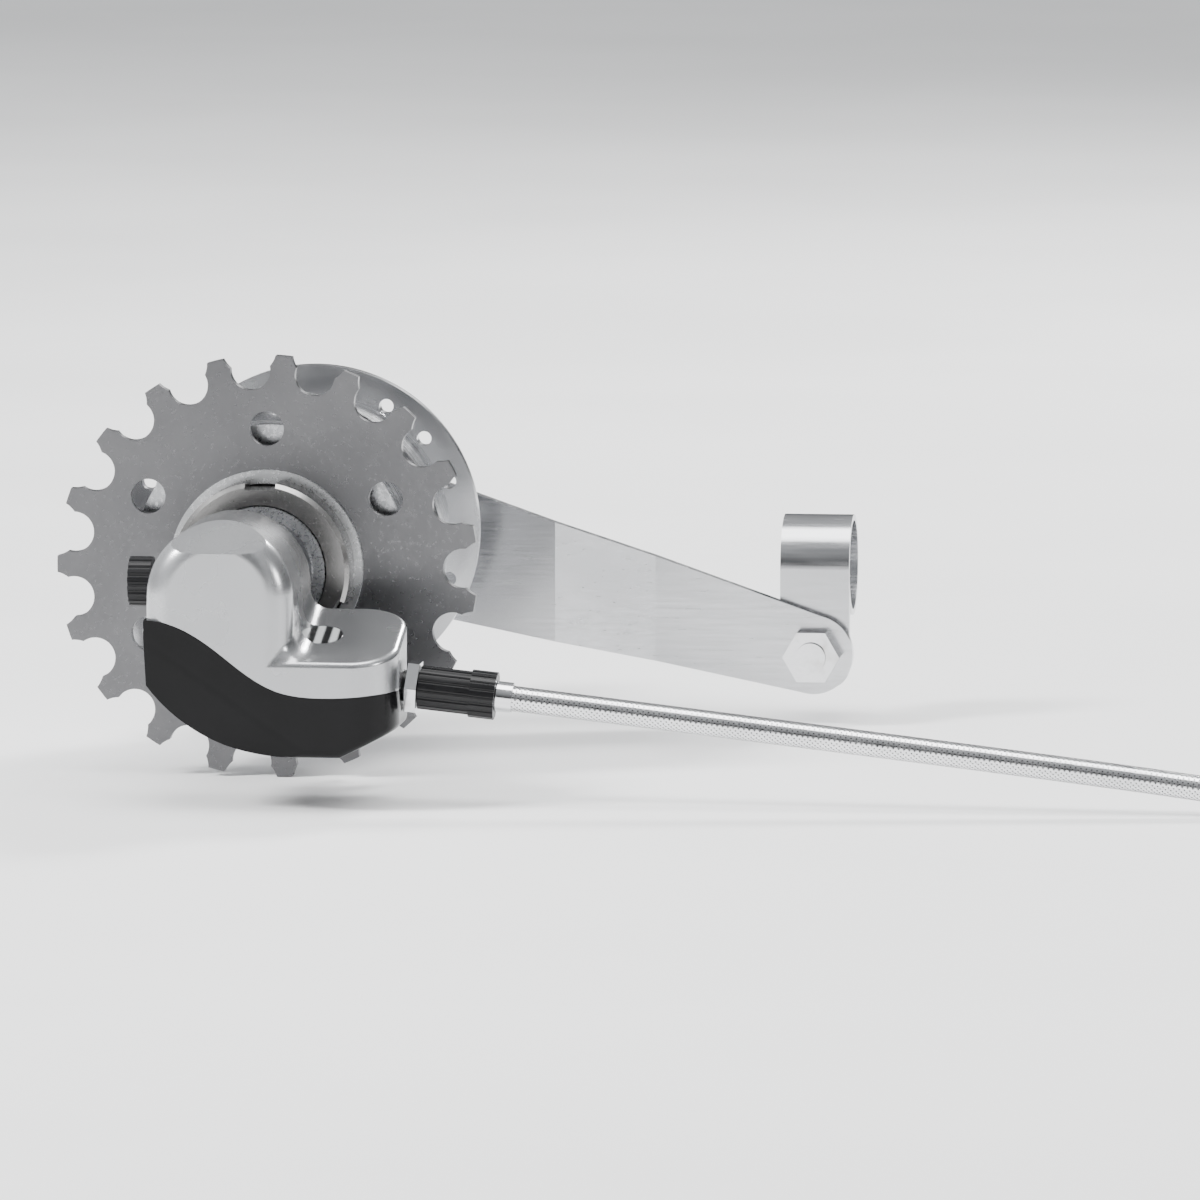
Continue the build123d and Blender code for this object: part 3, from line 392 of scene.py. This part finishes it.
BRAID = metal("bright_braid_wire", (0.74, 0.745, 0.76), (0.92, 0.92, 0.93), (0.14, 0.26))
TIE = plastic("soft_tie", (0.01, 0.01, 0.012), (0.025, 0.025, 0.028), (0.5, 0.7), depth=0.00002)


def dress_nodes():
    """Every CAD node takes its material from the record's slot."""
    slots = {s["node"]: s["material_slot"] for s in frame["record"]["subparts"]}
    for name, node in NODES.items():
        for material_slot in node.material_slots:
            material_slot.material = LOOKS[slots[name]]


dress_nodes()


# ------------------------------------------------------------ cable
def mesh_object(name, corners, faces, material, smooth=True):
    """A new mesh object from its corners and faces."""
    mesh = bpy.data.meshes.new(name)
    mesh.from_pydata(corners, [], faces)
    mesh.validate()
    mesh.materials.append(material)
    for polygon in mesh.polygons:
        polygon.use_smooth = smooth
    piece = bpy.data.objects.new(name, mesh)
    bpy.context.collection.objects.link(piece)
    return piece


def cable_curve():
    """The casing's dark jacket, as one smooth curve."""
    points = cable_points()
    curve = bpy.data.curves.new("cable_jacket", "CURVE")
    curve.dimensions = "3D"
    curve.resolution_u = 6
    curve.bevel_resolution = 5
    curve.use_fill_caps = True
    spline = curve.splines.new("NURBS")
    spline.points.add(len(points) - 1)
    for place, point in zip(spline.points, points):
        place.co = (*point, 1)
    spline.order_u = 3
    spline.use_endpoint_u = True
    piece = bpy.data.objects.new("cable_jacket", curve)
    bpy.context.collection.objects.link(piece)
    line = [v.co.copy() for v in bpy.data.meshes.new_from_object(piece).vertices]
    curve.bevel_depth = CABLE_R - BRAID_THICK
    curve.materials.append(LOOKS["cable_braid"])
    return piece, line


def even_points(line, step):
    """Points a step apart along a line, each with its distance from the start."""
    out, travelled, wanted = [], 0.0, 0.0
    for a, b in zip(line, line[1:]):
        span = (b - a).length
        while wanted <= travelled + span and span > 0:
            out.append((wanted, a.lerp(b, (wanted - travelled) / span)))
            wanted += step
        travelled += span
    return out


BRAID_STEP = 0.0009
BRAID_PITCH = 0.0165
STRANDS = 16
STRAND_HALF_WIDTH = 0.125  # radians round the cable
BRAID_START = 0.0052  # from the curve's start, which is inside the adjuster
STRAND_DEPTH = 0.00003  # of the upper strands, below the cable's radius
UNDER_STEP = 0.00004  # how much lower the strands of the other hand lie


def cable_braid(line):
    """Flat wire strands wound both ways round the jacket, over and under each other."""
    stations = [s for s in even_points(line, BRAID_STEP) if s[0] >= BRAID_START]
    side = Vector((0, 1, 0))
    rings = []
    for i, (along, centre) in enumerate(stations):
        before = stations[max(i - 1, 0)][1]
        after = stations[min(i + 1, len(stations) - 1)][1]
        tangent = (after - before).normalized()
        side = (side - tangent * side.dot(tangent)).normalized()
        rings.append((along, centre, side, tangent.cross(side)))
    corners, faces = [], []
    for hand in (1, -1):
        for strand in range(STRANDS):
            first = len(corners)
            for along, centre, across, up in rings:
                middle = hand * tau * along / BRAID_PITCH + tau * strand / STRANDS
                radius = CABLE_R - STRAND_DEPTH - UNDER_STEP * (hand < 0)
                for offset in (-STRAND_HALF_WIDTH, STRAND_HALF_WIDTH):
                    angle = middle + offset
                    corners.append(centre + radius * (cos(angle) * across + sin(angle) * up))
            for row in range(len(rings) - 1):
                a = first + 2 * row
                faces.append((a, a + 1, a + 3, a + 2))
    return mesh_object("cable_braid_wires", corners, faces, BRAID)


TIE_ANGLE = radians(200)  # round the coil, from forwards
TIE_HALF_WIDTH = 0.004
TIE_THICK = 0.0006
TIE_STEPS = 32


def coil_tie():
    """A soft strap with rounded corners, drawn tight round all the turns of the coil."""
    outward = Vector((cos(TIE_ANGLE), sin(TIE_ANGLE), 0))
    along = Vector((-sin(TIE_ANGLE), cos(TIE_ANGLE), 0))
    middle_r = OUTER_TURN_R - TURN_STEP * (COLUMNS - 1) / 2
    middle = Vector((COIL_X, COIL_Y, LIE_Z + CABLE_R)) + middle_r * outward
    reach, rise = TURN_STEP * (COLUMNS - 1) / 2, CABLE_R
    corners, faces = [], []
    for i in range(TIE_STEPS):
        turn = tau * (i + 0.5) / TIE_STEPS
        for radius in (CABLE_R, CABLE_R + TIE_THICK):
            across = (reach if cos(turn) > 0 else -reach) + radius * cos(turn)
            up = (rise if sin(turn) > 0 else -rise) + radius * sin(turn)
            spot = middle + across * outward + Vector((0, 0, up))
            spot.z = max(spot.z, FLOOR_Z + CABLE_R + TIE_THICK - radius)
            corners += [spot - TIE_HALF_WIDTH * along, spot + TIE_HALF_WIDTH * along]
    for i in range(TIE_STEPS):
        a, b = 4 * i, 4 * ((i + 1) % TIE_STEPS)
        faces += [
            (a + 2, a + 3, b + 3, b + 2),
            (a + 1, a, b, b + 1),
            (a, a + 2, b + 2, b),
            (a + 3, a + 1, b + 1, b + 3),
        ]
    return mesh_object("coil_tie", corners, faces, TIE, smooth=False)


jacket, cable_line = cable_curve()
braid = cable_braid(cable_line)
tie = coil_tie()
CABLE_LENGTH = sum((b - a).length for a, b in zip(cable_line, cable_line[1:]))
print("cable length", round(CABLE_LENGTH, 4))
for piece in (jacket, braid, tie):
    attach(piece, "axle_set")
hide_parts("cable_casing", "cable_tail", "cable_coil")


# ------------------------------------------------------------ floor and light
def add_floor():
    """A plain pale floor under the object."""
    half = 8.0
    corners = [
        (-half, -half, FLOOR_Z),
        (half, -half, FLOOR_Z),
        (half, half, FLOOR_Z),
        (-half, half, FLOOR_Z),
    ]
    material, tree, shader, coords = start_material("pale_floor")
    soft = noise(tree, coords, 6, 3)
    colour = two_colours(tree, soft, (0.88, 0.88, 0.88), (0.91, 0.91, 0.91))
    tree.links.new(colour, shader.inputs["Base Color"])
    tree.links.new(spread(tree, soft, 0.65, 0.8), shader.inputs["Roughness"])
    floor = mesh_object("floor", corners, [(0, 1, 2, 3)], material, smooth=False)


LIGHT_AIM = Vector((0.03, -0.04, 0))


def add_light(name, place, size, watts, tint=(1, 1, 1)):
    """A soft square light aimed at the hub."""
    light = bpy.data.lights.new(name, "AREA")
    light.shape = "SQUARE"
    light.size = size
    light.energy = watts
    light.color = tint
    lamp = bpy.data.objects.new(name, light)
    lamp.location = place
    aim = LIGHT_AIM - Vector(place)
    lamp.rotation_euler = aim.to_track_quat("-Z", "Y").to_euler()
    bpy.context.collection.objects.link(lamp)


def add_world():
    """A studio: bright to the left and half right, dark behind the camera, soft above."""
    world = bpy.data.worlds.new("studio")
    world.use_nodes = True
    tree = world.node_tree
    coords = tree.nodes.new("ShaderNodeTexCoord")
    parts = tree.nodes.new("ShaderNodeSeparateXYZ")
    tree.links.new(coords.outputs["Generated"], parts.inputs["Vector"])
    panels = tree.nodes.new("ShaderNodeValToRGB")
    tree.links.new(spread(tree, parts.outputs["X"], 0, 1, -1, 1), panels.inputs["Fac"])
    stops = panels.color_ramp.elements
    stops[0].position, stops[0].color = 0.0, (0.7, 0.7, 0.7, 1)
    stops[1].position, stops[1].color = 1.0, (0.05, 0.05, 0.05, 1)
    for place, level in ((0.2, 1.0), (0.42, 0.05), (0.62, 0.03), (0.74, 0.6), (0.84, 0.1)):
        stops.new(place).color = (level, level, level, 1)
    above = spread(tree, parts.outputs["Z"], 0.0, 0.5, 0.1, 0.8)
    total = tree.nodes.new("ShaderNodeMath")
    tree.links.new(panels.outputs["Color"], total.inputs[0])
    tree.links.new(above, total.inputs[1])
    background = tree.nodes["Background"]
    background.inputs["Color"].default_value = (0.96, 0.98, 1.0, 1)
    tree.links.new(total.outputs["Value"], background.inputs["Strength"])
    bpy.context.scene.world = world


add_floor()
add_light("key", (-0.9, -0.6, 0.9), 0.35, 30)
add_light("top", (0.1, -0.2, 1.6), 1.0, 22)
add_light("back", (0.5, 1.2, 0.9), 0.35, 26)
add_light("right", (1.1, -0.6, 0.35), 0.25, 4)
add_world()
